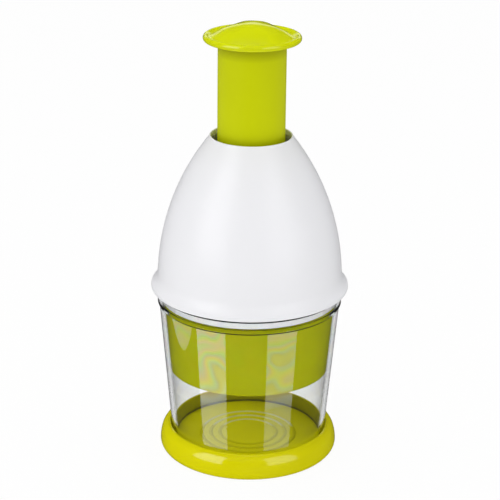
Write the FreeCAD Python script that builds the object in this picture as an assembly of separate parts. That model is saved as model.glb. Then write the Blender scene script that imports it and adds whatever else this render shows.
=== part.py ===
import FreeCAD, Part
import math
import os

V = FreeCAD.Vector
UP = V(0, 0, 1)
ORIGIN = V(0, 0, 0)

# Plunger food chopper. It stands on its base cap, and +Z points up through the knob. All sizes are in mm.
# The stack from the bottom: base cap, clear container, housing with the guide for the plunger, knob.
# The blade carriage hangs on a spindle inside the plunger and reaches down through a slotted guard.

# Clearances
fit_slip = 0.35          # round pieces that slide in or over each other
fit_turn = 0.45          # round pieces that turn in each other
fit_loose = 0.6          # the container in its base cap
seat_gap = 0.1           # pieces of one assembly that are put together and stay so

# Base cap
floor_z = 6.0            # chopping floor, on which the container stands
floor_wall = 2.4
base_h = 12.7
base_skirt = 4.81        # how far the skirt bulges out beyond the pocket
base_foot_round = 3.8
base_shoulder_in = 1.0   # how far the skirt leans in up to the shoulder
base_shoulder_z = 9.0
base_lip = 1.3           # land at the top of the skirt, next to the container
base_recess_gap = 0.8    # step in from the pocket wall to the hollow underside
ridge_r = 14.0           # the innermost ring on the floor
ridge_pitch = 4.5
ridge_count = 3
ridge_w = 1.6
ridge_h = 0.6
base_rib_count = 8
base_rib_w = 1.4
base_rib_lift = 0.8      # the ribs end this far above the ground
base_hub_r = 11.0

# Clear container
cont_foot_r = 37.4
cont_taper = 0.0882      # radius gained for each mm of height
cont_step_z = 76.9       # underside of the collar
cont_collar_r = 44.4
cont_collar_edge = 0.5   # bevel under the collar
cont_wall = 1.8
cont_h = 82.3

# Housing dome
dome_wall = 2.0
dome_neck_r = 44.3       # above the flared lip
dome_neck_z = 93.4
dome_mid_r = 38.3
dome_mid_z = 125.2
dome_top_r = 20.2
dome_top_z = 158.9
dome_rim_h = 1.3         # edge of the opening
throat_r = 19.0
lip_r = 47.5
lip_drop = 4.1           # the lip reaches this far below the container's rim
lip_edge = 1.2
lip_flare_h = 6.4
boss_r = 3.2
boss_pitch_r = 31.0
boss_count = 3
boss_hole_r = 1.2
boss_hole_depth = 12.0
boss_up = 6.0            # the bosses end this far above the dome's middle

# Spigot ring that plugs into the container's collar
spigot_wall = 2.4
spigot_h = 14.4
spigot_rib_w = 1.2
spigot_rib_h = 0.3
spigot_rib_len = 8.5
spigot_rib_angle = 53.0  # from the front and from the back, to both sides
groove_depth = 1.1
groove_h = 2.6
groove_up = 6.2

# Bulkhead
bulk_t = 3.0
bulk_clear = 0.35
bulk_hole_r = 1.7
nut_boss_wall = 2.0
nut_boss_h = 9.0

# Ratchet ring and index nut
ratchet_t = 1.4
tooth_count = 12
tooth_h = 1.0
nut_r = 8.2
nut_h = 5.4
cap_t = 1.4

# Spindle
shaft_r = 4.2
rib_r = 6.4
rib_w = 2.6
rib_count = 3
lead = 219.0             # travel for one whole turn
rib_start = 1.2          # above the foot
rib_len = 62.0
foot_r = 11.0
foot_t = 1.6
head_r = 6.6
head_t = 3.0
washer_t = 0.8
clip_t = 2.0
swivel_drop = 14.0       # the clip sits this far below the knob
socket_wall = 2.6

# Plunger tube and guide
tube_r = 16.0
tube_wall = 1.8
tube_in_knob = 2.2       # the tube's end in the knob
stop_w = 4.6
stop_h = 4.0
stop_out = 1.1
sleeve_wall = 2.3
sleeve_h = 56.0
sleeve_flange_r = 25.0
sleeve_flange_t = 2.0

# Knob
knob_z = 205.2           # underside
knob_rim_r = 22.9
knob_rim_round = 1.55
knob_top_h = 8.4         # from the underside to the apex
knob_crown_r = 38.0      # radius of the crown's arc
knob_crown_edge = 14.5   # where the crown's arc turns down
knob_crown_drop = 3.3    # from there down to the rim
knob_facets = 3
knob_facet_r = 26.5
knob_turn = -4.0         # the first facet looks this far left of the front, in degrees

# Plunger spring
spring_r = 12.25         # mean radius
spring_wire = 1.7
spring_turns = 10.0
spring_sides = 8         # the wire is drawn with this many flats
seat_t = 0.8

# Blade guard
guard_drop = 35.6        # from the guard's mouth down to its underside
guard_mouth_r = 41.3
guard_foot_r = 38.3
guard_wall = 1.4
guard_round = 2.2
guard_lip_r = 34.6
guard_lip_t = 1.5
guard_mouth_gap = 0.6    # under the spigot
wiper_t = 3.2
wiper_rim = 1.2
wiper_rim_h = 1.0
ring_wall = 1.5
ring_in_cup = 4.4
ring_h = 15.6
ring_slots = 6
ring_slot_w = 2.0
ring_slot_h = 8.0
bead_out = 0.9
bead_h = 1.8

# Blade
blade_t = 0.6
blade_reach = 31.0       # bends and ends lie on this radius
blade_pitch = 9.0        # from one bend to the next across the guard
blade_bends = 7
blade_bend_r = 2.2
blade_edge = 1.4         # ground edge
blade_edge_t = 0.12
blade_rest = 0.8         # edge above the guard's underside at rest
blade_floor_gap = 0.3
blade_in_holder = 2.4
slot_clear = 0.45
holder_r = 34.6
holder_t = 3.6
holder_over = 0.8        # above the wiper at full stroke
holder_ribs = 6
holder_rib_w = 1.6
holder_rib_h = 1.4
lock_wall = 2.6
lock_h = 1.2

# Heights and radii that follow
cont_top_z = floor_z + cont_h
ledge_z = cont_step_z + cont_wall * 0.85
spigot_r = cont_collar_r - cont_wall - spigot_rib_h - 0.3
spigot_z = ledge_z + 0.35
spigot_in_r = spigot_r - spigot_wall
bulk_z = spigot_z + spigot_h
guard_top_z = spigot_z - guard_mouth_gap
guard_z = guard_top_z - guard_drop
wiper_z = guard_z + 0.2
blade_z = guard_z + blade_rest
stroke = blade_z - floor_z - ridge_h - blade_floor_gap
wiper_top_z = wiper_z + wiper_t + wiper_rim_h
holder_z = wiper_top_z + stroke + holder_over
holder_top_z = holder_z + holder_t
blade_h = holder_z + blade_in_holder - blade_z
socket_r = nut_r + seat_gap
boss_out_r = socket_r + nut_boss_wall
ratchet_in_r = rib_r + fit_slip + 0.3
ratchet_z = bulk_z + bulk_t
nut_z = ratchet_z + ratchet_t + seat_gap
spring_z = ratchet_z + seat_t
sleeve_r = tube_r + fit_slip
knob_apex_z = knob_z + knob_top_h
tube_top_z = knob_z + tube_in_knob
tube_z = ratchet_z + stroke + 1.2
tube_in_r = tube_r - tube_wall
swivel_z = knob_z - swivel_drop
head_z = swivel_z + clip_t + 0.3
socket_top_z = head_z + head_t + washer_t + 0.2


def cont_r(z):
    """Outer radius of the container's wall at height z."""
    return cont_foot_r + cont_taper * (z - floor_z)


def path(start, *steps):
    """Closed wire in the XZ plane. A step is a point, or the middle and the end of an arc."""
    edges = []
    here = start
    for step in steps + (start,):
        if isinstance(step[0], tuple):
            mid, end = step
            edges.append(Part.Arc(V(here[0], 0, here[1]), V(mid[0], 0, mid[1]), V(end[0], 0, end[1])).toShape())
        else:
            end = step
            if math.dist(here, end) > 1e-6:
                edges.append(Part.LineSegment(V(here[0], 0, here[1]), V(end[0], 0, end[1])).toShape())
        here = end
    return Part.Wire(edges)


def turned(start, *steps):
    """Solid of revolution about the Z axis from a profile of (radius, height)."""
    return Part.Face(path(start, *steps)).revolve(ORIGIN, UP, 360)


def ring(r_in, r_out, z, h):
    """Plain ring, or a disc where the inner radius is nought."""
    body = Part.makeCylinder(r_out, h, V(0, 0, z))
    if r_in > 0:
        body = body.cut(Part.makeCylinder(r_in, h + 2, V(0, 0, z - 1)))
    return body


def bow(a, b, sag):
    """Arc from a to b whose middle stands off the chord by sag, to the right of the way from a to b."""
    dx = b[0] - a[0]
    dz = b[1] - a[1]
    n = math.hypot(dx, dz)
    return ((0.5 * (a[0] + b[0]) + sag * dz / n, 0.5 * (a[1] + b[1]) - sag * dx / n), b)


def corner(cx, cz, r, a0, a1):
    """Arc about (cx, cz) from angle a0 to a1 in degrees: its middle and its end."""
    m = math.radians(0.5 * (a0 + a1))
    e = math.radians(a1)
    return ((cx + r * math.cos(m), cz + r * math.sin(m)), (cx + r * math.cos(e), cz + r * math.sin(e)))


def spoke(r_in, r_out, width, z, h, angle):
    """Radial bar between two radii."""
    bar = Part.makeBox(r_out - r_in, width, h, V(r_in, -0.5 * width, z))
    bar.rotate(ORIGIN, UP, angle)
    return bar


def around(count, make, first=0.0):
    """Copies of a solid at even angles."""
    return [make(first + 360.0 * i / count) for i in range(count)]


def base_cap():
    """Dish with a bulged skirt, ring ridges on the floor and a ribbed, hollow underside."""
    pocket_top = cont_r(base_h) + fit_loose
    pocket_foot = cont_r(floor_z) + fit_loose
    land_r = pocket_top + base_lip
    bulge_r = pocket_top + base_skirt
    bulge_z = base_foot_round
    foot_r_ = bulge_r - base_foot_round
    shoulder = (bulge_r - base_shoulder_in, base_shoulder_z)
    recess_r = pocket_foot - base_recess_gap
    under_z = floor_z - floor_wall
    steps = [shoulder, bow(shoulder, (land_r - 0.3, base_h), 0.85)]
    steps.append((pocket_top + 0.3, base_h))
    steps.append((pocket_top, base_h - 0.3))
    steps.append((pocket_foot, floor_z))
    for i in reversed(range(ridge_count)):
        r = ridge_r + i * ridge_pitch
        steps += [(r + 0.5 * ridge_w, floor_z), (r + 0.2 * ridge_w, floor_z + ridge_h)]
        steps += [(r - 0.2 * ridge_w, floor_z + ridge_h), (r - 0.5 * ridge_w, floor_z)]
    steps += [(0, floor_z), (0, under_z), (recess_r, under_z), (recess_r, 0), (foot_r_, 0)]
    steps.append(corner(foot_r_, base_foot_round, base_foot_round, -90, -0.01))
    body = turned((bulge_r, bulge_z), *steps[:-1])
    rib_h = under_z - base_rib_lift + 0.2
    ribs = around(base_rib_count, lambda a: spoke(base_hub_r - 0.4, recess_r + 0.3, base_rib_w, base_rib_lift, rib_h, a))
    ribs.append(ring(base_hub_r - base_rib_w, base_hub_r, base_rib_lift, rib_h))
    return body.fuse(ribs).removeSplitter()


def container():
    """Clear tapered tube, open at both ends, with a stepped collar at the top."""
    in_collar = cont_collar_r - cont_wall
    rr = cont_collar_edge
    return turned(
        (cont_r(floor_z) - 0.4, floor_z), (cont_r(floor_z) + 0.02, floor_z + 0.5), (cont_r(cont_step_z), cont_step_z),
        (cont_collar_r - rr, cont_step_z), (cont_collar_r, cont_step_z + rr),
        (cont_collar_r, cont_top_z - 0.4), (cont_collar_r - 0.4, cont_top_z), (in_collar + 0.3, cont_top_z),
        (in_collar, cont_top_z - 0.3), (in_collar, ledge_z), (cont_r(ledge_z) - cont_wall, ledge_z),
        (cont_r(floor_z) - cont_wall, floor_z))


def dome_arc_z(inset):
    """Points of the dome's long arc, moved in by inset: start, middle and end."""
    a = V(dome_neck_r, 0, dome_neck_z)
    m = V(dome_mid_r, 0, dome_mid_z)
    b = V(dome_top_r, 0, dome_top_z)
    c = Part.Arc(a, m, b).toShape().Curve.Center
    out = []
    for p in (a, m, b):
        d = p.sub(c).normalize()
        out.append((p.x - inset * d.x, p.z - inset * d.z))
    return out


def housing_dome():
    """Egg-shaped shell with a flared, rounded lip, a rolled opening and screw bosses inside."""
    a, m, b = dome_arc_z(0)
    ai, mi, bi = dome_arc_z(dome_wall)
    lip_z = cont_top_z - lip_drop
    skirt_r = cont_collar_r + fit_turn
    shoulder_z = cont_top_z + 0.3
    flare_z = lip_z + lip_edge + 1.0
    rim_z = dome_top_z + dome_rim_h
    outer = [(m, b), (throat_r + 0.6, rim_z), (throat_r + 0.2, rim_z), (throat_r, rim_z - 0.2)]
    outer += [(throat_r, dome_top_z - 1.6), bi, (mi, ai), (ai[0], shoulder_z)]
    outer += [(skirt_r, shoulder_z), (skirt_r, lip_z + 0.4), (skirt_r + 0.4, lip_z), (lip_r - lip_edge, lip_z)]
    outer += corner(lip_r - lip_edge, lip_z + lip_edge, lip_edge, -90, 0)
    outer.append((lip_r - 0.15, flare_z))
    flare_top = (dome_neck_r + 0.12, flare_z + lip_flare_h)
    outer.append(bow((lip_r - 0.15, flare_z), flare_top, -0.75))
    shell = turned(a, *outer)
    top = dome_mid_z + boss_up
    keep = turned((0, bulk_z + bulk_t), (ai[0] - 0.5, bulk_z + bulk_t), (ai[0] + 0.5, bulk_z + bulk_t + 4),
                  (dome_arc_z(0.5 * dome_wall)[1][0], dome_mid_z), (0, top))
    bosses = []
    for i in range(boss_count):
        t = math.radians(90 + 360.0 * i / boss_count)
        at = V(boss_pitch_r * math.cos(t), boss_pitch_r * math.sin(t), bulk_z + bulk_t + 0.02)
        post = Part.makeCylinder(boss_r, top - bulk_z - bulk_t, at)
        fin = Part.makeBox(ai[0] - boss_pitch_r, 1.6, top - bulk_z - bulk_t, V(boss_pitch_r, -0.8, at.z))
        fin.rotate(ORIGIN, UP, 90 + 360.0 * i / boss_count)
        bosses.append(post.fuse(fin).common(keep).cut(Part.makeCylinder(boss_hole_r, boss_hole_depth, at)))
    return shell.fuse(bosses)


def spigot_ring():
    """White ring that plugs into the container's collar and carries the guard in an inner groove."""
    g0 = spigot_z + groove_up
    body = turned(
        (spigot_in_r + 0.3, spigot_z), (spigot_r - 0.6, spigot_z), (spigot_r, spigot_z + 0.6),
        (spigot_r, bulk_z), (spigot_in_r, bulk_z), (spigot_in_r, g0 + groove_h),
        (spigot_in_r + groove_depth, g0 + groove_h), (spigot_in_r + groove_depth, g0), (spigot_in_r, g0),
        (spigot_in_r, spigot_z + 0.3))
    ribs = []
    for side in (-90, 90):
        for sign in (-1, 1):
            ribs.append(spoke(spigot_r - 0.5, spigot_r + spigot_rib_h, spigot_rib_w, spigot_z + 0.6,
                              spigot_rib_len, side + sign * spigot_rib_angle))
    return body.fuse(ribs)


def bulkhead():
    """Plate across the housing: it closes the spigot, holds the nut and seats the spring."""
    r = dome_arc_z(dome_wall)[0][0] - bulk_clear
    plate = ring(ratchet_in_r, r, bulk_z, bulk_t)
    boss = ring(socket_r, boss_out_r, bulk_z + bulk_t - 0.2, nut_boss_h + 0.2)
    holes = []
    for i in range(boss_count):
        t = math.radians(90 + 360.0 * i / boss_count)
        at = V(boss_pitch_r * math.cos(t), boss_pitch_r * math.sin(t), bulk_z - 1)
        holes.append(Part.makeCylinder(bulk_hole_r, bulk_t + 2, at))
    return plate.fuse(boss).cut(Part.makeCompound(holes))


def guide_sleeve():
    """Bore for the plunger tube, with keyways for its stop lugs and a flange on the bulkhead."""
    z0 = bulk_z + bulk_t
    out = sleeve_r + sleeve_wall
    body = turned(
        (sleeve_r, z0), (sleeve_flange_r, z0), (sleeve_flange_r, z0 + sleeve_flange_t),
        (out + 1.5, z0 + sleeve_flange_t), (out, z0 + sleeve_flange_t + 1.5),
        (out, z0 + sleeve_h - 0.6), (out - 0.6, z0 + sleeve_h), (sleeve_r + 0.5, z0 + sleeve_h),
        (sleeve_r, z0 + sleeve_h - 0.5))
    way_h = tube_z + stop_h + 0.3 - z0 + 1
    ways = around(2, lambda a: spoke(tube_r - 1, tube_r + stop_out + 0.35, stop_w + 0.6, z0 - 1, way_h, a))
    return body.cut(Part.makeCompound(ways))


def ratchet_teeth(lift):
    """Saw teeth round the top of the ratchet ring, each with an upright face and a slope."""
    teeth = []
    step = 2 * math.pi / tooth_count
    z = ratchet_z + ratchet_t + lift
    for i in range(tooth_count):
        a0 = i * step
        a1 = a0 + 0.96 * step
        faces = []
        for r in (ratchet_in_r, nut_r - 0.1):
            pts = [V(r * math.cos(a0), r * math.sin(a0), z - 0.3), V(r * math.cos(a1), r * math.sin(a1), z - 0.3),
                   V(r * math.cos(a1), r * math.sin(a1), z), V(r * math.cos(a0), r * math.sin(a0), z + tooth_h)]
            faces.append(Part.makePolygon(pts + [pts[0]]))
        teeth.append(upright(Part.makeLoft(faces, True, True)))
    return teeth


def upright(body):
    """The same solid with its faces turned outwards."""
    return body.reversed() if body.Volume < 0 else body


def ratchet_ring():
    """Fixed toothed ring in the bottom of the bulkhead's socket: the nut can slip over it one way only."""
    return ring(ratchet_in_r, nut_r, ratchet_z, ratchet_t).fuse(ratchet_teeth(0))


def rib_section(r_shaft, r_rib, width, z, angle):
    """Closed outline of the ribbed shaft at one height, turned by angle in degrees."""
    edges = []
    step = 2 * math.pi / rib_count
    half = math.asin(0.5 * width / r_shaft)
    top = math.asin(0.5 * width / r_rib)
    turn = math.radians(angle)

    def at(r, a):
        return V(r * math.cos(a + turn), r * math.sin(a + turn), z)

    for i in range(rib_count):
        c = i * step
        edges.append(Part.LineSegment(at(r_shaft, c - half), at(r_rib, c - top)).toShape())
        edges.append(Part.Arc(at(r_rib, c - top), at(r_rib, c), at(r_rib, c + top)).toShape())
        edges.append(Part.LineSegment(at(r_rib, c + top), at(r_shaft, c + half)).toShape())
        edges.append(Part.Arc(at(r_shaft, c + half), at(r_shaft, c + 0.5 * step), at(r_shaft, c + step - half)).toShape())
    return Part.Wire(edges)


def helical(r_shaft, r_rib, width, z0, z1):
    """Left-hand ribbed shaft from z0 to z1. Its angle is nought at the nut's underside."""
    count = max(2, int(math.ceil(abs(z1 - z0) / 9.0)) + 1)
    wires = []
    for i in range(count):
        z = z0 + (z1 - z0) * i / (count - 1)
        wires.append(rib_section(r_shaft, r_rib, width, z, -360.0 * (z - nut_z) / lead))
    return upright(Part.makeLoft(wires, True, False))


def index_nut():
    """Nut whose bore follows the spindle's ribs, so that the travel of the plunger turns the blades."""
    body = ring(0, nut_r, nut_z, nut_h)
    bore = helical(shaft_r + fit_slip, rib_r + fit_slip, rib_w + 2 * fit_slip, nut_z - 1, nut_z + nut_h + 1)
    return body.cut(bore).cut(Part.makeCompound(ratchet_teeth(seat_gap)))


def nut_cap():
    """Ring pressed into the socket above the nut."""
    return ring(ratchet_in_r, nut_r + 0.05, nut_z + nut_h + 0.3, cap_t)


def tangent_arc(p, t, q):
    """Arc that leaves p along t and ends at q."""
    c = q.sub(p)
    u = V(c).normalize()
    n = t.sub(u * t.dot(u))
    if n.Length < 1e-9:
        return Part.LineSegment(p, q).toShape()
    n.normalize()
    half = math.acos(max(-1.0, min(1.0, t.dot(u)))) / 2
    return Part.Arc(p, (p + q) * 0.5 + n * (0.5 * c.Length * math.tan(half)), q).toShape()


def plunger_spring():
    """Compression spring from its seat on the bulkhead up to the knob."""
    z0 = spring_z + 0.5 * spring_wire + 0.05
    z1 = knob_z - 0.5 * spring_wire - 0.05
    pitch = (z1 - z0) / spring_turns
    steps = int(round(spring_turns * 2))
    pts = []
    tans = []
    for i in range(steps + 1):
        a = math.pi * i
        pts.append(V(spring_r * math.cos(a), spring_r * math.sin(a), z0 + pitch * i / 2.0))
        tans.append(V(-spring_r * math.sin(a), spring_r * math.cos(a), pitch / (2 * math.pi)).normalize())
    edges = []
    for i in range(steps):
        v = pts[i + 1].sub(pts[i])
        t = tans[i] + tans[i + 1]
        k = 2 * (tans[i].dot(tans[i + 1]) - 1)
        b = -2 * v.dot(t)
        c = v.dot(v)
        d = (-b - math.sqrt(b * b - 4 * k * c)) / (2 * k)
        if d < 0:
            d = (-b + math.sqrt(b * b - 4 * k * c)) / (2 * k)
        j = (pts[i] + pts[i + 1]) * 0.5 + (tans[i] - tans[i + 1]) * (0.5 * d)
        edges.append(tangent_arc(pts[i], tans[i], j))
        tj = j.sub(pts[i] + tans[i] * d).normalize()
        edges.append(tangent_arc(j, tj, pts[i + 1]))
    spine = Part.Wire(edges)
    rim = Part.makeCircle(0.5 * spring_wire, pts[0], tans[0]).discretize(spring_sides + 1)
    body = spine.makePipeShell([Part.makePolygon(rim)], True, False)
    print("spring: least gap between turns %.2f mm" % (pitch * math.cos(math.atan(pitch / (2 * math.pi * spring_r)))
                                                      - spring_wire))
    return body


def spring_seat():
    """Steel washer under the spring."""
    return ring(boss_out_r + 0.2, tube_in_r - 0.5, ratchet_z, seat_t)


def knob_cap():
    """Mushroom knob: rolled rim, crown with three broad facets, socket for the spindle below."""
    rr = knob_rim_round
    rim_c = knob_rim_r - rr
    crown_z = knob_apex_z - (knob_crown_r - math.sqrt(knob_crown_r ** 2 - knob_crown_edge ** 2))
    half = 0.5 * math.asin(knob_crown_edge / knob_crown_r)
    crown_mid = (knob_crown_r * math.sin(half), knob_apex_z - knob_crown_r * (1 - math.cos(half)))
    valley = (rim_c - 0.9, crown_z - knob_crown_drop)
    crown = turned(
        (0, knob_z + 0.5), (valley[0], knob_z + 0.5), valley, bow(valley, (knob_crown_edge, crown_z), 0.2),
        (crown_mid, (0, knob_apex_z)))
    past = 2 * knob_rim_r
    for i in range(knob_facets):
        roll = Part.makeCylinder(knob_facet_r, 2 * past, V(0, -past, knob_apex_z - knob_facet_r), V(0, 1, 0))
        wide = Part.makeBox(past, 2 * past, past, V(-past, -past, knob_apex_z - past))
        keep = roll.fuse(wide)
        keep.rotate(ORIGIN, UP, -90 + knob_turn + 360.0 * i / knob_facets)
        crown = crown.common(keep)
    rim = turned(
        (tube_r - 3.0, knob_z + 0.4), (tube_r + 0.4, knob_z), (rim_c, knob_z), corner(rim_c, knob_z + rr, rr, -90, 0),
        corner(rim_c, knob_z + rr, rr, 0, 90), (rim_c - 2.2, knob_z + rr),
        (tube_r - 3.0, knob_z + rr))
    body = crown.fuse(rim)
    seat = ring(tube_in_r - seat_gap, tube_r + seat_gap, knob_z - 1, tube_in_knob + 1)
    socket_out = head_r + fit_slip + socket_wall
    socket = ring(head_r + fit_slip, socket_out, swivel_z + clip_t, knob_z + 1.0 - swivel_z - clip_t)
    plug = ring(0, socket_out, socket_top_z, knob_z + 1.0 - socket_top_z)
    return body.cut(seat).fuse([socket, plug]).removeSplitter()


def plunger_tube():
    """Smooth tube between the knob and the guide, with two stop lugs at its foot."""
    body = turned(
        (tube_in_r, tube_z), (tube_r - 0.5, tube_z), (tube_r, tube_z + 0.5), (tube_r, tube_top_z),
        (tube_in_r, tube_top_z))
    lugs = around(2, lambda a: spoke(tube_in_r + 0.6, tube_r + stop_out, stop_w, tube_z, stop_h, a))
    return body.fuse(lugs)


def spindle():
    """Shaft with helical ribs, a foot on the blade holder and a head that swivels in the knob."""
    z0 = holder_top_z
    rib_z = z0 + foot_t + rib_start
    foot = ring(0, foot_r, z0, foot_t)
    top = rib_z + rib_len
    shaft = turned(
        (0, z0 + 0.5), (shaft_r, z0 + 0.5), (shaft_r, head_z), (head_r - 0.4, head_z), (head_r, head_z + 0.4),
        (head_r, head_z + head_t - 0.4), (head_r - 0.4, head_z + head_t), (0, head_z + head_t))
    ribs = helical(shaft_r - 0.02, rib_r, rib_w, rib_z, top)
    return foot.fuse([shaft, ribs])


def swivel_clip():
    """Ring under the spindle's head that lets the knob lift it."""
    return ring(shaft_r + fit_slip, head_r + fit_slip + socket_wall, swivel_z, clip_t - 0.02)


def thrust_washer():
    """Washer between the spindle's head and the knob."""
    return ring(0, head_r - 0.2, head_z + head_t + 0.1, washer_t)


def zigzag(thick, grow=0.0):
    """Outline of the folded blade band: two offsets of one zigzag line with rounded bends."""
    half = 0.5 * thick
    xs = [(i - 0.5 * (blade_bends - 1)) * blade_pitch for i in range(blade_bends)]
    reach = [math.sqrt(max(1.0, blade_reach ** 2 - x * x)) for x in xs]
    ys = list(reach)
    for again in range(12):
        for i in range(1, blade_bends - 1):
            lean = 0.5 * (math.atan(blade_pitch / (ys[i] + ys[i - 1])) + math.atan(blade_pitch / (ys[i] + ys[i + 1])))
            ys[i] = reach[i] + blade_bend_r / math.sin(lean) - blade_bend_r
    pts = [V(xs[i], ys[i] if i % 2 else -ys[i], 0) for i in range(blade_bends)]
    first = V(pts[0] - pts[1]).normalize()
    last = V(pts[-1] - pts[-2]).normalize()
    pts[0] = pts[0] + first * grow
    pts[-1] = pts[-1] + last * grow
    sides = []
    for s in (1, -1):
        edges = []
        here = pts[0] + UP.cross(V(pts[1] - pts[0]).normalize()) * (s * half)
        for i in range(1, len(pts) - 1):
            a = V(pts[i] - pts[i - 1]).normalize()
            b = V(pts[i + 1] - pts[i]).normalize()
            bend = math.acos(a.dot(b))
            side = 1 if a.cross(b).z > 0 else -1
            cut = blade_bend_r * math.tan(0.5 * bend)
            p = pts[i] - a * cut
            q = pts[i] + b * cut
            centre = p + UP.cross(a) * (side * blade_bend_r)
            r = blade_bend_r - side * s * half
            if r < 0.05:
                p2 = pts[i] + V(centre - pts[i]).normalize() * (half / math.cos(0.5 * bend))
                edges.append(Part.LineSegment(here, p2).toShape())
                here = p2
                continue
            mid = centre + V(pts[i] - centre).normalize() * r
            p2 = p + UP.cross(a) * (s * half)
            q2 = q + UP.cross(b) * (s * half)
            edges.append(Part.LineSegment(here, p2).toShape())
            edges.append(Part.Arc(p2, mid, q2).toShape())
            here = q2
        end = pts[-1] + UP.cross(last) * (s * half)
        edges.append(Part.LineSegment(here, end).toShape())
        sides.append((edges, pts[0] + UP.cross(first) * (-s * half), end))
    ends = [Part.LineSegment(sides[0][2], sides[1][2]).toShape(), Part.LineSegment(sides[0][1], sides[1][1]).toShape()]
    return Part.Wire(Part.__sortEdges__(sides[0][0] + sides[1][0] + ends))


def band(thick, z, h, grow=0.0):
    """The zigzag outline drawn up into a solid."""
    face = Part.Face(zigzag(thick, grow))
    face.translate(V(0, 0, z))
    return face.extrude(V(0, 0, h))


def blade_band():
    """Folded steel strip with a ground lower edge."""
    low = zigzag(blade_edge_t)
    low.translate(V(0, 0, blade_z))
    high = zigzag(blade_t)
    high.translate(V(0, 0, blade_z + blade_edge))
    edge = Part.makeLoft([low, high], True, True)
    return band(blade_t, blade_z + blade_edge, blade_h - blade_edge).fuse(edge)


def blade_holder():
    """Ribbed disc with a groove in which the band's upper edge sits."""
    disc = turned(
        (0, holder_z), (holder_r - 0.6, holder_z), (holder_r, holder_z + 0.6), (holder_r, holder_top_z),
        (0, holder_top_z))
    groove = band(blade_t + 0.04, holder_z - 1, blade_in_holder + 1.02, 0.02)
    start = foot_r + lock_wall + 0.4
    ribs = around(holder_ribs, lambda a: spoke(start, holder_r - 1.0, holder_rib_w, holder_top_z - 0.2,
                                               holder_rib_h + 0.2, a), 180.0 / holder_ribs)
    return disc.cut(groove).fuse(ribs)


def lock_ring():
    """Ring that holds the spindle's foot down on the holder."""
    z = holder_top_z
    return turned(
        (foot_r + 0.1, z), (foot_r + lock_wall, z), (foot_r + lock_wall, z + foot_t + lock_h - 0.4),
        (foot_r + lock_wall - 0.4, z + foot_t + lock_h), (foot_r - 2.0, z + foot_t + lock_h),
        (foot_r - 2.0, z + foot_t + 0.02), (foot_r + 0.1, z + foot_t + 0.02))


def guard_r(z):
    """Outer radius of the guard's wall."""
    t = (z - guard_z) / guard_drop
    return guard_foot_r + (guard_mouth_r - guard_foot_r) * t


def guard_cup():
    """Tapered cup round the blades, with an inner ledge for the wiper plate."""
    z0 = guard_z
    rr = guard_round
    wall_z = z0 + rr
    return turned(
        (guard_lip_r, z0), (guard_r(wall_z) - rr, z0), *corner(guard_r(wall_z) - rr, wall_z, rr, -90, 0),
        (guard_r(guard_top_z), guard_top_z), (guard_r(guard_top_z) - guard_wall, guard_top_z),
        (guard_r(z0 + rr) - guard_wall, z0 + rr), (guard_r(z0 + rr) - guard_wall, z0 + guard_lip_t),
        (guard_lip_r, z0 + guard_lip_t))


def wiper_plate():
    """Floor of the guard: the blades pass its zigzag slot, whose raised rim wipes them clean."""
    step_r = guard_lip_r - seat_gap
    edge_r = guard_r(guard_z + guard_round) - guard_wall - seat_gap
    disc = turned(
        (0, wiper_z), (step_r, wiper_z), (step_r, guard_z + guard_lip_t), (edge_r, guard_z + guard_lip_t),
        (edge_r, wiper_z + wiper_t - 0.4), (edge_r - 0.4, wiper_z + wiper_t), (0, wiper_z + wiper_t))
    gap = blade_t + 2 * slot_clear
    rim = band(gap + 2 * wiper_rim, wiper_z + wiper_t - 0.3, wiper_rim_h + 0.3, slot_clear + wiper_rim)
    slot = band(gap, wiper_z - 1, wiper_t + wiper_rim_h + 2, slot_clear)
    return disc.fuse(rim).cut(slot)


def guard_ring():
    """Neck of the guard: its slotted fingers snap into the spigot's groove and turn there."""
    out = spigot_in_r - fit_slip
    z0 = guard_top_z - ring_in_cup
    z1 = z0 + ring_h
    b0 = spigot_z + groove_up + 0.5 * (groove_h - bead_h)
    body = turned(
        (out - ring_wall, z0), (out - 0.3, z0), (out, z0 + 0.3), (out, b0), (out + bead_out, b0 + 0.3),
        (out + bead_out, b0 + bead_h - 0.6), (out, b0 + bead_h), (out, z1), (out - ring_wall, z1))
    cuts = around(ring_slots, lambda a: spoke(out - ring_wall - 1, out + bead_out + 1, ring_slot_w,
                                              z1 - ring_slot_h, ring_slot_h + 1, a), 180.0 / ring_slots)
    return body.cut(Part.makeCompound(cuts))


PIECES = {
    "base_cap": base_cap,
    "container": container,
    "housing_dome": housing_dome,
    "spigot_ring": spigot_ring,
    "bulkhead": bulkhead,
    "guide_sleeve": guide_sleeve,
    "ratchet_ring": ratchet_ring,
    "index_nut": index_nut,
    "nut_cap": nut_cap,
    "spring_seat": spring_seat,
    "plunger_spring": plunger_spring,
    "knob_cap": knob_cap,
    "plunger_tube": plunger_tube,
    "swivel_clip": swivel_clip,
    "thrust_washer": thrust_washer,
    "spindle": spindle,
    "blade_holder": blade_holder,
    "lock_ring": lock_ring,
    "blade_band": blade_band,
    "guard_cup": guard_cup,
    "wiper_plate": wiper_plate,
    "guard_ring": guard_ring,
}

os.makedirs("parts", exist_ok=True)
print("stroke %.2f mm, turn over the stroke %.2f degrees" % (stroke, 360.0 * stroke / lead))
for node, make in PIECES.items():
    shape = make()
    solids = shape.Solids
    if len(solids) == 1:
        shape = solids[0]
    print("%-15s solids %d valid %s volume %.1f z %.2f to %.2f" % (
        node, len(solids), shape.isValid(), shape.Volume, shape.BoundBox.ZMin, shape.BoundBox.ZMax))
    shape.exportStep("parts/" + node + ".step")
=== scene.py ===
import math

import bpy
from mathutils import Matrix, Vector


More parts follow.
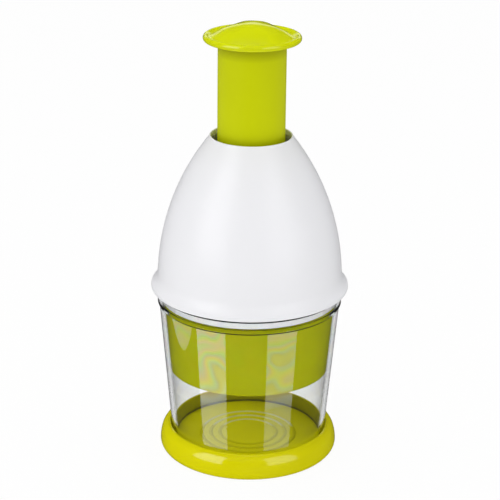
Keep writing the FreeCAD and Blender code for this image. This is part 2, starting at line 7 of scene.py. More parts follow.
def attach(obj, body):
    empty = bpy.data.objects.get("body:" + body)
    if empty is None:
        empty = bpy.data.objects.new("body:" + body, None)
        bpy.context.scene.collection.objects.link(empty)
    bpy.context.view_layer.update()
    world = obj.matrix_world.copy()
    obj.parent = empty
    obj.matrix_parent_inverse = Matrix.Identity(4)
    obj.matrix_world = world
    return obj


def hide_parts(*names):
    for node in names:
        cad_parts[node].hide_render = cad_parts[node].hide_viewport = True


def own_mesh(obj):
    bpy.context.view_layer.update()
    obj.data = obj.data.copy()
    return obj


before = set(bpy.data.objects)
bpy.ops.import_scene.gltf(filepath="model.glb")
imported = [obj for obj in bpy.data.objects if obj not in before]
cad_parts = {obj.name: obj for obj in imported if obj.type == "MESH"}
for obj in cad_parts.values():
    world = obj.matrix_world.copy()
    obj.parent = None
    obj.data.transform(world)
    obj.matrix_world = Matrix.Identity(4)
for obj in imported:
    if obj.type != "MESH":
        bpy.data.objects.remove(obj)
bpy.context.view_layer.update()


# ---- Camera ----
# The chopper is seen from in front and a little above, from about 0.9 m, with the camera leaning
# by less than a degree. The lens follows from the perspective of the rims.
CAMERA_BACK = 0.8117
CAMERA_UP = 0.4051
CAMERA_PITCH = 20.4545
CAMERA_LEAN = 0.657
FOCAL_PIXELS = 1802.87
PICTURE = 500.0

camera_data = bpy.data.cameras.new("camera")
camera_data.sensor_width = 36.0
camera_data.lens = FOCAL_PIXELS * camera_data.sensor_width / PICTURE
camera_data.clip_start = 0.05
camera_data.clip_end = 30.0
camera = bpy.data.objects.new("camera", camera_data)
bpy.context.scene.collection.objects.link(camera)
camera.matrix_world = (
    Matrix.Translation((0.0, -CAMERA_BACK, CAMERA_UP))
    @ Matrix.Rotation(math.radians(90.0 - CAMERA_PITCH), 4, "X")
    @ Matrix.Rotation(math.radians(CAMERA_LEAN), 4, "Z")
)
bpy.context.scene.camera = camera
bpy.context.scene.view_settings.view_transform = "Standard"


# ---- Studio ----
# A white paper sweep in a white room. Soft boxes in front and above light the chopper, and tall ones
# left and right mirror as upright bright strips in its gloss. What else the gloss mirrors is dim.
DIM = 0.03
WHITE_EDGE = 0.95


def linear(code):
    """sRGB hex to linear colour."""
    values = []
    for i in (0, 2, 4):
        c = int(code[i:i + 2], 16) / 255.0
        values.append(c / 12.92 if c <= 0.04045 else ((c + 0.055) / 1.055) ** 2.4)
    return (*values, 1.0)


def add_node(tree, kind, settings=None, links=None):
    """Adds a node with its settings and inputs. A node given as an input stands for its first output."""
    node = tree.nodes.new(kind)
    for name, value in (settings or {}).items():
        if isinstance(name, str) and hasattr(node, name):
            setattr(node, name, value)
        else:
            node.inputs[name].default_value = value
    for name, source in (links or {}).items():
        output = source if isinstance(source, bpy.types.NodeSocket) else source.outputs[0]
        tree.links.new(output, node.inputs[name])
    return node


def seen_directly(tree):
    """One where the eye sees a thing straight or through clear plastic, nought where it lights or is mirrored."""
    path = add_node(tree, "ShaderNodeLightPath")
    bounced = add_node(tree, "ShaderNodeMath", {"operation": "ADD"},
                       {0: path.outputs["Diffuse Depth"], 1: path.outputs["Glossy Depth"]})
    fresh = add_node(tree, "ShaderNodeMath", {"operation": "LESS_THAN", 1: 0.5}, {0: bounced})
    through = add_node(tree, "ShaderNodeMath", {"operation": "MULTIPLY"},
                       {0: path.outputs["Is Transmission Ray"], 1: fresh})
    return add_node(tree, "ShaderNodeMath", {"operation": "MAXIMUM"},
                    {0: path.outputs["Is Camera Ray"], 1: through})


def in_gloss(tree):
    """One where a thing is seen in the gloss of another."""
    path = add_node(tree, "ShaderNodeLightPath")
    glossy = add_node(tree, "ShaderNodeMath", {"operation": "GREATER_THAN", 1: 0.5},
                      {0: path.outputs["Glossy Depth"]})
    still = add_node(tree, "ShaderNodeMath", {"operation": "LESS_THAN", 1: 0.5}, {0: path.outputs["Diffuse Depth"]})
    return add_node(tree, "ShaderNodeMath", {"operation": "MULTIPLY"}, {0: glossy, 1: still})


def gloom(tree, past):
    """What gloss shows: dim all round, but white past the object where the rim of a clear wall turns the light."""
    path = add_node(tree, "ShaderNodeLightPath")
    inside = add_node(tree, "ShaderNodeMath", {"operation": "COMPARE", 1: 2.0, 2: 0.6},
                      {0: path.outputs["Transmission Depth"]})
    edge = add_node(tree, "ShaderNodeMath", {"operation": "MULTIPLY"}, {0: inside, 1: past})
    return add_node(tree, "ShaderNodeMath", {"operation": "MULTIPLY_ADD", 1: WHITE_EDGE, 2: DIM}, {0: edge})


# The room is white to the eye. As light it is even, a little weaker from below at the front and from the right.
world = bpy.data.worlds.new("studio")
bpy.context.scene.world = world
world.use_nodes = True
tree = world.node_tree
tree.nodes.clear()
sky = add_node(tree, "ShaderNodeTexCoord")
towards = add_node(tree, "ShaderNodeSeparateXYZ", None, {0: sky.outputs["Generated"]})
behind = add_node(tree, "ShaderNodeMapRange", {"From Min": -0.3, "From Max": 0.4}, {"Value": towards.outputs["Y"]})
low = add_node(tree, "ShaderNodeMapRange", {"From Min": 0.65, "From Max": 0.45}, {"Value": towards.outputs["Z"]})
horizon = add_node(tree, "ShaderNodeMath", {"operation": "MULTIPLY_ADD", 1: 0.35, 2: -0.20}, {0: behind})
even = add_node(tree, "ShaderNodeMath", {"operation": "MULTIPLY_ADD", 2: 0.745}, {0: horizon, 1: low})
right = add_node(tree, "ShaderNodeMath", {"operation": "MULTIPLY", 1: -0.08}, {0: towards.outputs["X"]})
level = add_node(tree, "ShaderNodeMath", {"operation": "ADD"}, {0: even, 1: right})
past = add_node(tree, "ShaderNodeMath", {"operation": "GREATER_THAN", 1: 0.70}, {0: towards.outputs["Y"]})
room = add_node(tree, "ShaderNodeBackground", {"Color": (1, 1, 1, 1)}, {"Strength": level})
mirrored = add_node(tree, "ShaderNodeBackground", {"Color": (1, 1, 1, 1)}, {"Strength": gloom(tree, past)})
white = add_node(tree, "ShaderNodeBackground", {"Color": (1, 1, 1, 1), "Strength": 1.0})
unseen = add_node(tree, "ShaderNodeMixShader", None, {0: in_gloss(tree), 1: room, 2: mirrored})
both = add_node(tree, "ShaderNodeMixShader", None, {0: seen_directly(tree), 1: unseen, 2: white})
add_node(tree, "ShaderNodeOutputWorld", None, {"Surface": both})

# The sweep is matt paper: white to the eye but for the soft shadow of the chopper.
bpy.ops.object.select_all(action="DESELECT")
bpy.ops.mesh.primitive_plane_add(size=6.0, location=(0.0, 0.0, 0.0))
floor = bpy.context.object
floor.name = "floor"
sweep = bpy.data.materials.new("white paper sweep")
sweep.use_nodes = True
tree = sweep.node_tree
tree.nodes.clear()
paper = add_node(tree, "ShaderNodeBsdfDiffuse", {"Color": (0.93, 0.93, 0.93, 1.0)})
glow = add_node(tree, "ShaderNodeEmission", {"Color": (1, 1, 1, 1), "Strength": 1.0})
bright = add_node(tree, "ShaderNodeMath", {"operation": "MULTIPLY", 1: 0.94}, {0: seen_directly(tree)})
plain = add_node(tree, "ShaderNodeMixShader", None, {0: bright, 1: paper, 2: glow})
ground = add_node(tree, "ShaderNodeTexCoord")
place = add_node(tree, "ShaderNodeSeparateXYZ", None, {0: ground.outputs["Object"]})
reach = add_node(tree, "ShaderNodeMath", {"operation": "MULTIPLY_ADD", 1: 0.80, 2: 0.05}, {0: place.outputs["Y"]})
aside = add_node(tree, "ShaderNodeMath", {"operation": "ABSOLUTE"}, {0: place.outputs["X"]})
fan = add_node(tree, "ShaderNodeMath", {"operation": "GREATER_THAN"}, {0: reach, 1: aside})
rear = add_node(tree, "ShaderNodeMath", {"operation": "GREATER_THAN", 1: -0.02}, {0: place.outputs["Y"]})
past = add_node(tree, "ShaderNodeMath", {"operation": "MULTIPLY"}, {0: fan, 1: rear})
mirrored = add_node(tree, "ShaderNodeEmission", {"Color": (1, 1, 1, 1)}, {"Strength": gloom(tree, past)})
kept = add_node(tree, "ShaderNodeMixShader", None, {0: in_gloss(tree), 1: plain, 2: mirrored})
path = add_node(tree, "ShaderNodeLightPath")
lighting = add_node(tree, "ShaderNodeMath", {"operation": "GREATER_THAN", 1: 0.5}, {0: path.outputs["Diffuse Depth"]})
strength = add_node(tree, "ShaderNodeMath", {"operation": "MULTIPLY", 1: 0.35}, {0: lighting})
returned = add_node(tree, "ShaderNodeEmission", {"Color": (1, 1, 1, 1)}, {"Strength": strength})
both = add_node(tree, "ShaderNodeAddShader", None, {0: kept, 1: returned})
add_node(tree, "ShaderNodeOutputMaterial", None, {"Surface": both})
floor.data.materials.append(sweep)
floor.visible_glossy = False


def soft_box(name, place, aim_z, wide, tall, power, lights, roll):
    """Rectangular lamp turned to the object: it either lights or shows in the gloss."""
    lamp = bpy.data.lights.new(name, "AREA")
    lamp.shape = "RECTANGLE"
    lamp.size = wide
    lamp.size_y = tall
    lamp.energy = power
    box = bpy.data.objects.new(name, lamp)
    bpy.context.scene.collection.objects.link(box)
    box.location = place
    facing = (Vector((0.0, 0.0, aim_z)) - Vector(place)).to_track_quat("-Z", "Y")
    box.rotation_euler = (facing.to_matrix() @ Matrix.Rotation(math.radians(roll), 3, "Z")).to_euler()
    box.visible_camera = False
    box.visible_transmission = False
    box.visible_diffuse = lights
    box.visible_glossy = not lights
    return box


# Name, place, height aimed at, width and height in metres, watts, whether it lights, roll in degrees.
lamps = {row[0]: soft_box(*row) for row in (
    ("strip_left_high", (-1.024, -0.80, 0.90), 0.90, 0.95, 1.72, 14.4, False, 0.0),
    ("strip_right_high", (0.919, -0.919, 0.90), 0.90, 0.95, 1.72, 9.7, False, 0.0),
    ("strip_left_low", (-1.024, -0.80, -0.95), -0.95, 0.98, 0.8, 7.2, False, 0.0),
    ("strip_right_low", (0.919, -0.919, -0.95), -0.95, 0.98, 0.8, 4.9, False, 0.0),
    ("side_box", (-1.121, 0.119, -0.538), -0.538, 1.2, 0.08, 0.40, False, -3.75),
    ("soft_box_front", (-0.30, -1.15, 1.10), 0.1, 0.8, 0.8, 2.7, True, 0.0),
    ("soft_box_top", (-0.05, -0.30, 1.90), 0.1, 0.8, 0.8, 7.2, True, 0.0),
    ("base_light", (-0.95, -0.60, 0.85), 0.0, 0.5, 0.5, 3.2, True, 0.0),
    ("rear_panel", (0.0, 1.40, 0.60), 0.21, 1.6, 0.25, 1.1, False, 0.0),
    ("collar_light", (0.0, -1.20, 0.20), 0.1, 1.0, 0.5, 10.5, True, 0.0),
)}


# ---- Base cap ----
# Dish of lime green ABS, moulded in one shot, that is the chopping floor and, turned over, the lid of
# the cup. Its skirt bulges and rounds in at the ground, and three low rings keep food from sliding.
FLOOR_TOP = 6.0
FLOOR_UNDER = 3.6
POCKET_RADIUS = 38.01
RING_RADII = (14.0, 18.5, 23.0)
RING_RISE = 0.55
RING_ARC, RING_HALF = 0.85, 0.95
SKIRT_TURN = 3.8
RIB_COUNT, RIB_MIDDLE = 8, 24.0


def mm(*values):
    """Millimetres to metres."""
    return tuple(0.001 * v for v in values)


def arc_through(a, m, b, count):
    """Points of the arc from a over m to b, without a."""
    d = 2 * (a[0] * (m[1] - b[1]) + m[0] * (b[1] - a[1]) + b[0] * (a[1] - m[1]))
    far_a, far_m, far_b = (p[0] ** 2 + p[1] ** 2 for p in (a, m, b))
    cx = (far_a * (m[1] - b[1]) + far_m * (b[1] - a[1]) + far_b * (a[1] - m[1])) / d
    cy = (far_a * (b[0] - m[0]) + far_m * (a[0] - b[0]) + far_b * (m[0] - a[0])) / d
    r = math.hypot(a[0] - cx, a[1] - cy)
    t0, tm, t1 = (math.atan2(p[1] - cy, p[0] - cx) for p in (a, m, b))
    turn = (t1 - t0) % (2 * math.pi)
    if (tm - t0) % (2 * math.pi) > turn:
        turn -= 2 * math.pi
    return [(cx + r * math.cos(t0 + turn * i / count), cy + r * math.sin(t0 + turn * i / count))
            for i in range(1, count + 1)]


def round_corner(cx, cz, r, a0, a1, count):
    """Points of a small fillet about (cx, cz), with both ends."""
    return [(cx + r * math.cos(math.radians(a0 + (a1 - a0) * i / count)),
             cz + r * math.sin(math.radians(a0 + (a1 - a0) * i / count))) for i in range(count + 1)]


def turned(name, outline, steps):
    """Draws an outline of (radius, height) in mm point by point and spins it about Z. It is closed
    unless it starts and ends on the axis."""
    points = [Vector((0.001 * r, 0.0, 0.001 * z)) for r, z in outline]
    back = points[:1] if outline[0][0] > 0 else []
    bpy.ops.object.select_all(action="DESELECT")
    bpy.ops.mesh.primitive_plane_add(size=0.001)
    piece = bpy.context.object
    piece.name = name
    bpy.ops.object.mode_set(mode="EDIT")
    bpy.ops.mesh.select_all(action="SELECT")
    bpy.ops.mesh.merge(type="CENTER")
    bpy.ops.transform.translate(value=points[0])
    for here, there in zip(points, points[1:] + back):
        bpy.ops.mesh.extrude_region_move(TRANSFORM_OT_translate={"value": there - here})
    bpy.ops.mesh.select_all(action="SELECT")
    bpy.ops.mesh.remove_doubles(threshold=1e-7)
    bpy.ops.mesh.select_all(action="SELECT")
    bpy.ops.mesh.spin(steps=steps, angle=2 * math.pi, center=(0, 0, 0), axis=(0, 0, 1))
    bpy.ops.mesh.select_all(action="SELECT")
    bpy.ops.mesh.remove_doubles(threshold=1e-6)
    bpy.ops.mesh.select_all(action="SELECT")
    bpy.ops.mesh.normals_make_consistent(inside=False)
    bpy.ops.object.mode_set(mode="OBJECT")
    bpy.ops.object.shade_smooth_by_angle(angle=math.radians(32.0))
    bpy.ops.object.modifier_add(type="WEIGHTED_NORMAL")
    piece.modifiers[0].keep_sharp = True
    bpy.ops.object.modifier_apply(modifier=piece.modifiers[0].name)
    return piece


def join_onto(piece, part):
    """Makes a part one mesh with the piece that it is moulded on."""
    bpy.ops.object.select_all(action="DESELECT")
    part.select_set(True)
    piece.select_set(True)
    bpy.context.view_layer.objects.active = piece
    bpy.ops.object.join()


def light_group(piece, names, state):
    """Lets the named lamps reach only this piece (INCLUDE) or all but this piece (EXCLUDE)."""
    group = bpy.data.collections.new("light group of " + piece.name)
    group.objects.link(piece)
    group.collection_objects[0].light_linking.link_state = state
    for name in names:
        lamps[name].light_linking.receiver_collection = group


def moulded_plastic(name, colour, shade, rough, grain_mm, bump, level=0.5):
    """Injection-moulded plastic. Slow flow marks, some 36 mm apart, give a trace of a second tone and
    of duller gloss. A skin of fine orange peel, at most 0.2 mm deep, breaks the gloss up a little."""
    material = bpy.data.materials.new(name)
    material.use_nodes = True
    tree = material.node_tree
    tree.nodes.clear()
    place = add_node(tree, "ShaderNodeTexCoord")
    flow = add_node(tree, "ShaderNodeTexNoise", {"Scale": 28.0, "Detail": 3.0, "Roughness": 0.5},
                    {"Vector": place.outputs["Object"]})
    tint = add_node(tree, "ShaderNodeValToRGB", None, {"Fac": flow.outputs["Fac"]})
    tint.color_ramp.elements[0].position = 0.3
    tint.color_ramp.elements[0].color = linear(shade)
    tint.color_ramp.elements[1].position = 0.7
    tint.color_ramp.elements[1].color = linear(colour)
    peel = add_node(tree, "ShaderNodeTexNoise", {"Scale": 1000.0 / grain_mm, "Detail": 2.0},
                    {"Vector": place.outputs["Object"]})
    skin = add_node(tree, "ShaderNodeBump", {"Strength": bump, "Distance": 0.0002}, {"Height": peel.outputs["Fac"]})
    gloss = add_node(tree, "ShaderNodeMapRange",
                     {"From Min": 0.35, "From Max": 0.65, "To Min": rough, "To Max": rough + 0.05},
                     {"Value": flow.outputs["Fac"]})
    shader = add_node(tree, "ShaderNodeBsdfPrincipled", {"IOR": 1.53, "Specular IOR Level": level},
                      {"Base Color": tint.outputs["Color"], "Roughness": gloss, "Normal": skin.outputs["Normal"]})
    add_node(tree, "ShaderNodeOutputMaterial", None, {"Surface": shader})
    return material


def rising(tree, axis, start, end, highest=1.0):
    """Rises from nought to the highest value between two places along an axis of the piece, in metres."""
    place = add_node(tree, "ShaderNodeTexCoord")
    spot = add_node(tree, "ShaderNodeSeparateXYZ", None, {0: place.outputs["Object"]})
    return add_node(tree, "ShaderNodeMapRange", {"From Min": start, "From Max": end, "To Max": highest},
                    {"Value": spot.outputs[axis]})


base_outline = [(0.0, FLOOR_TOP)]
for r in RING_RADII:
    base_outline += [(r - RING_HALF, FLOOR_TOP)]
    base_outline += arc_through((r - RING_ARC, FLOOR_TOP), (r, FLOOR_TOP + RING_RISE), (r + RING_ARC, FLOOR_TOP), 10)
    base_outline += [(r + RING_HALF, FLOOR_TOP)]
base_outline += [(37.6, FLOOR_TOP), (37.9, 6.02), (POCKET_RADIUS, 6.12), (38.575, 12.45)]
base_outline += [(38.62, 12.60), (38.74, 12.69), (38.9, 12.7)]
base_outline += round_corner(39.399, 12.25, 0.45, 90, 60, 3)
base_outline += round_corner(36.349, 6.966, 6.55, 60, 18, 12)[1:]
base_outline += round_corner(26.6, SKIRT_TURN, 16.8, 18, 0, 8)[1:]
base_outline += round_corner(39.601, SKIRT_TURN, SKIRT_TURN, 0, -90, 14)[1:]
base_outline += [(37.5, 0.0)] + round_corner(37.5, 0.3, 0.3, -90, -180, 4)[1:]
base_outline += [(37.2, FLOOR_UNDER), (0.0, FLOOR_UNDER)]
base = turned("base_cap_shell", base_outline, 192)

# Polished mould: an even yellow green with hard gloss. The pocket floor gets a lighter copy: painted light that makes
# up for the shade inside the cup.
lime = moulded_plastic("lime green ABS, polished mould", "D3CD00", "CFC900", 0.08, 6.0, 0.01)
board_painted_lighter = moulded_plastic("lime green ABS, chopping floor", "F2EC00", "ECE600", 0.08, 6.0, 0.01)
# The crests of the rings get a pale colour that rises towards the back: a painted highlight where light falls along
# them.
crests = moulded_plastic("lime green ABS, polished crests of the rings", "EFEBA8", "DCD600", 0.08, 6.0, 0.01)
# Painted highlight: the colour turns from lime to pale cream between 2 and 12 mm behind the axis.
tree = crests.node_tree
tree.nodes.remove(tree.nodes["Noise Texture"])
tree.links.new(rising(tree, "Y", 0.002, 0.012).outputs["Result"], tree.nodes["Color Ramp"].inputs["Fac"])
for material in (lime, crests, board_painted_lighter):
    base.data.materials.append(material)
# Faces on the rings take the painted highlight; the pocket floor takes the lighter copy, painted light.
for face in base.data.polygons:
    r, z = 1000.0 * math.hypot(face.center.x, face.center.y), 1000.0 * face.center.z
    if r < RING_RADII[-1] + 2.0 and z > FLOOR_TOP + 0.12:
        face.material_index = 1
    elif r < POCKET_RADIUS + 0.04 and 5.5 < z < 6.2:
        face.material_index = 2

# Underneath, eight ribs and a hub stiffen the dish.
for i in range(RIB_COUNT):
    turn = math.radians(360.0 / RIB_COUNT * i)
    bpy.ops.object.select_all(action="DESELECT")
    bpy.ops.mesh.primitive_cube_add(size=1.0, scale=mm(26.8, 1.4, 3.0), rotation=(0.0, 0.0, turn),
                                    location=mm(RIB_MIDDLE * math.cos(turn), RIB_MIDDLE * math.sin(turn), 2.3))
    rib = bpy.context.object
    bpy.ops.object.transform_apply(location=True, rotation=True, scale=True)
    rib.data.materials.append(lime)
    join_onto(base, rib)
hub = turned("base_hub", [(9.6, 0.8), (11.0, 0.8), (11.0, 3.8), (9.6, 3.8)], 96)
hub.data.materials.append(lime)
join_onto(base, hub)
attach(base, "base")
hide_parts("base_cap")
light_group(base, ["base_light"], "INCLUDE")


# ---- Clear container ----
# Tube of water-clear SAN, open at both ends, with a tapered wall under a stepped collar. It is moulded
# on a polished core and stands in the pocket of the base cap.
FOOT_END = 6.05
STEP_RADIUS, STEP_Z = 43.58, 76.3
COLLAR_RADIUS = 44.40
GROOVE_RADIUS = 44.22


def clear_plastic(name, tint, ior):
    """Clear plastic that lets the lamps through to what is inside. Wiped haze, 17 mm wide, dulls it a
    trace. Strain left from moulding, in marks 18 mm wide above the foot, tints its bright strips."""
    material = bpy.data.materials.new(name)
    material.use_nodes = True
    tree = material.node_tree
    tree.nodes.clear()
    place = add_node(tree, "ShaderNodeTexCoord")
    touch = add_node(tree, "ShaderNodeTexNoise", {"Scale": 60.0, "Detail": 4.0}, {"Vector": place.outputs["Object"]})
    haze = add_node(tree, "ShaderNodeMapRange", {"From Min": 0.45, "From Max": 0.75, "To Min": 0.0, "To Max": 0.03},
                    {"Value": touch.outputs["Fac"]})
    strain = add_node(tree, "ShaderNodeTexNoise", {"Scale": 55.0, "Detail": 1.0}, {"Vector": place.outputs["Object"]})
    film = add_node(tree, "ShaderNodeMapRange", {"From Min": 0.3, "From Max": 0.7, "To Min": 130.0, "To Max": 620.0},
                    {"Value": strain.outputs["Fac"]})
    thick = add_node(tree, "ShaderNodeMath", {"operation": "MULTIPLY"}, {0: film, 1: rising(tree, "Z", 0.035, 0.060)})
    body = add_node(tree, "ShaderNodeBsdfPrincipled",
                    {"Base Color": linear(tint), "IOR": ior, "Transmission Weight": 1.0, "Thin Film IOR": 1.62},
                    {"Roughness": haze, "Thin Film Thickness": thick})
    through = add_node(tree, "ShaderNodeBsdfTransparent", {"Color": (0.99, 0.99, 0.99, 1.0)})
    path = add_node(tree, "ShaderNodeLightPath")
    mix = add_node(tree, "ShaderNodeMixShader", None, {0: path.outputs["Is Shadow Ray"], 1: body, 2: through})
    add_node(tree, "ShaderNodeOutputMaterial", None, {"Surface": mix})
    return material


cup_outline = [(36.2, FOOT_END), (37.15, FOOT_END), (37.37, 6.2), (37.46, 6.7)]
cup_outline += [(STEP_RADIUS, STEP_Z), (43.70, 76.62), (43.86, 76.93)] + round_corner(43.95, 77.4, 0.45, -85, 0, 6)
cup_outline += [(COLLAR_RADIUS, 82.55), (GROOVE_RADIUS, 82.7), (GROOVE_RADIUS, 83.05), (COLLAR_RADIUS, 83.2)]
cup_outline += round_corner(43.9, 87.8, 0.5, 0, 90, 5) + round_corner(42.9, 88.0, 0.3, 90, 180, 4)
cup_outline += [(42.6, 78.7)] + round_corner(42.3, 78.73, 0.3, 0, -90, 4) + [(42.05, 78.43), (41.92, 78.1)]
cup_outline += [(35.66, 6.6), (35.75, 6.2)]
cup = turned("clear_container", cup_outline, 160)

# Clear and hard as glass. The groove, the step and the foot get dark colours: painted shade where they look dark seen
# edge on.
clear = clear_plastic("clear SAN, polished", "FCFDFD", 1.50)
edge = moulded_plastic("clear SAN, edges in shade", "181818", "141414", 0.35, 3.0, 0.01, 0.2)
foot = moulded_plastic("clear SAN, foot in shade", "5C5A34", "52502E", 0.30, 3.0, 0.01)
foot.node_tree.nodes["Principled BSDF"].inputs["Alpha"].default_value = 0.55
for material in (clear, edge, foot):
    cup.data.materials.append(material)
# Painted shade: the foot faces and the faces of the groove and the step take the dark materials.
for face in cup.data.polygons:
    r, z = 1000.0 * math.hypot(face.center.x, face.center.y), 1000.0 * face.center.z
    if z < FOOT_END + 0.6:
        face.material_index = 2
    elif r > 43.5 and (82.5 < z < 83.3 or 76.4 < z < 77.0):
        face.material_index = 1
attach(cup, "container")
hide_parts("container")
light_group(cup, ["strip_left_low", "strip_right_low", "side_box"], "INCLUDE")
light_group(cup, ["strip_left_high", "strip_right_high"], "EXCLUDE")


# ---- Guard cup ----
# Cup of lime green ABS round the blades, open above, with a round turn at its foot. It hangs from
# the housing and turns with the blades.
guard_outline = [(34.6, 42.58), (36.28, 42.58)] + round_corner(36.28, 44.78, 2.2, -90, 5, 14)[1:]
guard_outline += [(38.62, 46.4), (41.24, 77.7), (41.22, 78.0), (41.05, 78.16), (40.2, 78.18), (39.95, 78.08)]
guard_outline += [(39.90, 77.8), (37.12, 44.9), (37.08, 44.08), (34.6, 44.08)]
guard = turned("guard_cup_wall", guard_outline, 160)
# Glossy like the base cap, a shade greener, and lighter: the extra lightness is painted light that makes up for the
# shade inside the cup.
lime_guard = moulded_plastic("lime green ABS, guard", "E2E600", "DEE200", 0.12, 6.0, 0.01)
guard.data.materials.append(lime_guard)
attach(guard, "guard")
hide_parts("guard_cup")


# ---- Guard floor and neck ----
# The slotted floor that wipes the blades lies on the inner ledge of the cup, and the neck stands in
# its mouth and snaps into the spigot ring with its fingers. Both are moulded of the cup's ABS.
def dress(name, material):
    """Gives a node of the frame its finish."""
    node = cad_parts[name]
    node.data.materials.clear()
    node.data.materials.append(material)
    return node


# They take the guard's lighter colour, painted light as on the cup.
for name in ("wiper_plate", "guard_ring"):
    dress(name, lime_guard)


# ---- Housing dome ----
# Egg-shaped dome of white ABS, moulded with its flared lip over the collar of the cup and its rolled
# opening for the tube. Three bosses inside take the screws of the bulkhead.
NECK, MIDDLE, OPENING = (44.3, 93.4), (38.3, 125.2), (20.2, 158.9)
LIP_TOP, LIP_WAIST, LIP_NECK = (47.35, 86.4), (45.27, 89.22), (44.42, 92.8)
BOSS_COUNT, BOSS_MIDDLE = 3, 31.0

dome_outline = [NECK] + arc_through(NECK, MIDDLE, OPENING, 48)
dome_outline += [(19.83, 159.55)] + round_corner(19.38, 159.82, 0.38, 10, 180, 10) + [(19.0, 159.2), (19.0, 157.6)]
dome_outline += arc_through((18.43, 157.97), (36.38, 124.57), (42.32, 93.1), 36)[1:]
dome_outline += [(42.32, 88.6), (44.85, 88.6), (44.85, 84.7)] + round_corner(45.25, 84.6, 0.4, 180, 270, 4)
dome_outline += round_corner(46.3, 85.4, 1.2, -90, 0, 10) + [(47.47, 85.9), LIP_TOP]
dome_outline += arc_through(LIP_TOP, LIP_WAIST, LIP_NECK, 14)
dome = turned("dome_shell", dome_outline, 192)
# A cool white with a soft shine: the strips show in it only as two wide pale bands.
white_abs = moulded_plastic("white ABS, polished mould", "EFEFF2", "EDEDF0", 0.30, 8.0, 0.01, 0.25)
dome.data.materials.append(white_abs)
boss_outline = [(1.2, 108.2), (0.0, 108.2), (0.0, 122.0), (3.2, 122.0), (3.2, 96.2), (1.2, 96.2)]
for i in range(BOSS_COUNT):
    turn = math.radians(90.0 + 360.0 / BOSS_COUNT * i)
    boss = turned("dome_boss", boss_outline, 32)
    boss.data.materials.append(white_abs)
    boss.location = mm(BOSS_MIDDLE * math.cos(turn), BOSS_MIDDLE * math.sin(turn), 0.0)
    bpy.ops.object.transform_apply(location=True)
    join_onto(dome, boss)
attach(dome, "housing")
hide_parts("housing_dome")


# ---- Bulkhead, guide sleeve and blade holder ----
# Hidden mouldings of the dome's white ABS: the plate across the housing, the bore for the tube, both
# held by the bosses, and the disc on which the blade hangs.
for name in ("bulkhead", "guide_sleeve", "blade_holder"):
    dress(name, white_abs)


# ---- Spigot ring ----
# White ring with four small ribs that plugs the housing into the clear collar, seen only through the collar. Its ABS
# is duller than the dome's, and whiter: painted light that makes up for the shade under the lip.
spigot_abs = moulded_plastic("white ABS, inner ring", "FAFAFC", "F8F8FA", 0.35, 8.0, 0.01, 0.2)
spigot = dress("spigot_ring", spigot_abs)
light_group(spigot, ["collar_light"], "INCLUDE")


# ---- Index gear ----
# Spindle with its nut, cap, ring of teeth, clip and lock ring, moulded of natural acetal because it
# slides well without grease.
# Milky grey white with a soft, waxy shine.
acetal = moulded_plastic("acetal, natural", "C9C9C4", "C4C4BF", 0.35, 4.0, 0.02)
for name in ("ratchet_ring", "index_nut", "nut_cap", "swivel_clip", "spindle", "lock_ring"):
    dress(name, acetal)


# ---- Blade and washers ----
# One band of stainless steel, folded to a zigzag with a ground edge below, and two stamped washers at
# the ends of the spring and of the spindle.
def bright_steel(name, colour, rough, line_mm):
    """Bright steel. Fine lines from grinding or drawing, level all round, streak its shine. They are
    drawn 40 times as long as wide, and coarser than real ones so that they show."""
    material = bpy.data.materials.new(name)
    material.use_nodes = True
    tree = material.node_tree
    tree.nodes.clear()
    place = add_node(tree, "ShaderNodeTexCoord")
    along = add_node(tree, "ShaderNodeMapping", {"Scale": (1.0, 1.0, 40.0)}, {"Vector": place.outputs["Object"]})
    lines = add_node(tree, "ShaderNodeTexNoise", {"Scale": 1000.0 / line_mm / 40.0, "Detail": 3.0}, {"Vector": along})
    polish = add_node(tree, "ShaderNodeMapRange", {"To Min": rough - 0.06, "To Max": rough + 0.08},
                      {"Value": lines.outputs["Fac"]})
    shader = add_node(tree, "ShaderNodeBsdfPrincipled", {"Base Color": linear(colour), "Metallic": 0.25},
                      {"Roughness": polish})
    add_node(tree, "ShaderNodeOutputMaterial", None, {"Surface": shader})
    return material


blade_steel = bright_steel("stainless steel, ground", "D4D5D7", 0.30, 0.6)
for name in ("blade_band", "spring_seat", "thrust_washer"):
    dress(name, blade_steel)


# ---- Plunger spring ----
# Spring steel wire wound in ten even turns between its seat and the knob. It stands in the plunger tube on the
# bulkhead.
# On the real chopper it closes up as the knob goes down; here it is a rigid coil that rides with the housing.
COIL_RADIUS, COIL_START = 12.25, 97.91
WIRE_RADIUS = 0.85
TURNS, PITCH = 10, 10.636

bpy.ops.object.select_all(action="DESELECT")
bpy.ops.mesh.primitive_circle_add(vertices=14, radius=0.001 * WIRE_RADIUS, fill_type="NOTHING",
                                  rotation=(math.radians(90), 0, 0), location=mm(COIL_RADIUS, 0.0, COIL_START))
spring = bpy.context.object
spring.name = "plunger_spring_wire"
bpy.ops.object.transform_apply(location=True, rotation=True)
bpy.ops.object.modifier_add(type="SCREW")
wind = spring.modifiers[0]
wind.axis = "Z"
wind.angle = 2 * math.pi
wind.iterations = TURNS
wind.screw_offset = 0.001 * PITCH
wind.steps = wind.render_steps = 40
bpy.ops.object.modifier_apply(modifier=wind.name)
bpy.ops.object.mode_set(mode="EDIT")
bpy.ops.mesh.select_all(action="SELECT")
bpy.ops.mesh.remove_doubles(threshold=1e-6)
bpy.ops.mesh.select_all(action="SELECT")
bpy.ops.mesh.fill_holes(sides=0)
bpy.ops.mesh.select_all(action="SELECT")
bpy.ops.mesh.normals_make_consistent(inside=False)
bpy.ops.object.mode_set(mode="OBJECT")
bpy.ops.object.shade_smooth_by_angle(angle=math.radians(40.0))
spring.data.materials.append(bright_steel("spring steel wire, bright", "C4C5C8", 0.26, 0.4))
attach(spring, "housing")
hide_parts("plunger_spring")
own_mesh(spring)
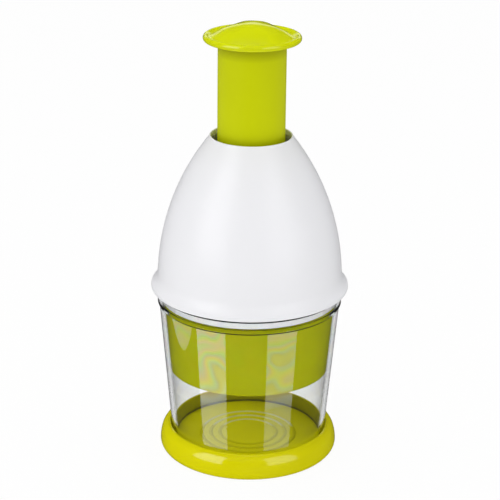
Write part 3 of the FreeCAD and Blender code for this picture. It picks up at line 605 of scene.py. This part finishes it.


# ---- Plunger tube ----
# Lime green ABS tube that slides in the guide sleeve and carries the knob.
# Its mould is fine blasted, so it has a satin shine. Close under the knob its colour is darkened: a painted shadow of
# the knob.
satin = moulded_plastic("lime green ABS, satin", "C6CE00", "C2C900", 0.42, 2.0, 0.05, 0.05)
tree = satin.node_tree
# Painted shadow: the colour darkens towards the knob over the top 7 mm of the tube.
knob_shadow_fade = rising(tree, "Z", 0.1985, 0.2052, 0.75)
painted_knob_shadow = add_node(tree, "ShaderNodeMixRGB", {"blend_type": "MULTIPLY", "Color2": linear("A89C60")},
                 {"Fac": knob_shadow_fade, "Color1": tree.nodes["Color Ramp"].outputs["Color"]})
tree.links.new(painted_knob_shadow.outputs["Color"], tree.nodes["Principled BSDF"].inputs["Base Color"])
dress("plunger_tube", satin)


# ---- Knob ----
# Mushroom knob moulded of lime green ABS, with a rolled rim and three broad facets on its crown. The
# end of the tube sits in a groove under it, and the head of the spindle turns in its socket.
KNOB_TOP = 213.73
CROWN_RADIUS, CROWN_EDGE = 38.0, 14.5
FACET_RADIUS, FACET_TURN = 26.5, -94.0
RIM_RADIUS, RIM_Z, RIM_ROUND = 21.35, 206.75, 1.55
BLANK_TOP = 208.3


def knob_height(x, y):
    """Height of the crown and of the rim's inner slope over a point, in mm."""
    r = math.hypot(x, y)
    if r < CROWN_EDGE:
        z = KNOB_TOP - CROWN_RADIUS + math.sqrt(CROWN_RADIUS ** 2 - r * r)
    else:
        out = (r - CROWN_EDGE) / 5.95
        z = KNOB_TOP - 2.875 - 3.3 * out - 0.2 * math.sin(math.pi * min(out, 1.0))
    for i in range(3):
        turn = math.radians(FACET_TURN + 120.0 * i)
        u = max(x * math.cos(turn) + y * math.sin(turn), 0.0)
        facet = KNOB_TOP - FACET_RADIUS + math.sqrt(FACET_RADIUS ** 2 - u * u)
        z = 0.5 * (z + facet - math.sqrt((z - facet) ** 2 + 0.02))
    rim = RIM_Z + RIM_ROUND * min(max((r - 19.15) / 2.2, 0.0), 1.0)
    return 0.5 * (z + rim + math.sqrt((z - rim) ** 2 + 0.04))


knob_outline = [(0.0, 197.5), (6.95, 197.5), (6.95, 193.2), (9.55, 193.2), (9.55, 205.7), (14.1, 205.7)]
knob_outline += [(14.1, 207.4), (16.1, 207.4), (16.1, 205.2)]
knob_outline += round_corner(RIM_RADIUS, RIM_Z, RIM_ROUND, -90, 90, 20)
knob_outline += [(RIM_RADIUS - 0.5 * i, BLANK_TOP) for i in range(1, 42)] + [(0.45, BLANK_TOP), (0.0, BLANK_TOP)]
knob = turned("knob_crown", knob_outline, 192)
for vertex in knob.data.vertices:
    x, y, z = 1000.0 * vertex.co
    if z > BLANK_TOP - 0.01 and math.hypot(x, y) < RIM_RADIUS - 0.01:
        vertex.co.z = 0.001 * knob_height(x, y)
bpy.ops.object.shade_smooth_by_angle(angle=math.radians(60.0))
# Glossy, with a line of light along the edges of the facets.
knob.data.materials.append(moulded_plastic("lime green ABS, knob", "D0D800", "CCD300", 0.10, 6.0, 0.01))
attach(knob, "plunger")
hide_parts("knob_cap")
light_group(knob, ["rear_panel"], "INCLUDE")
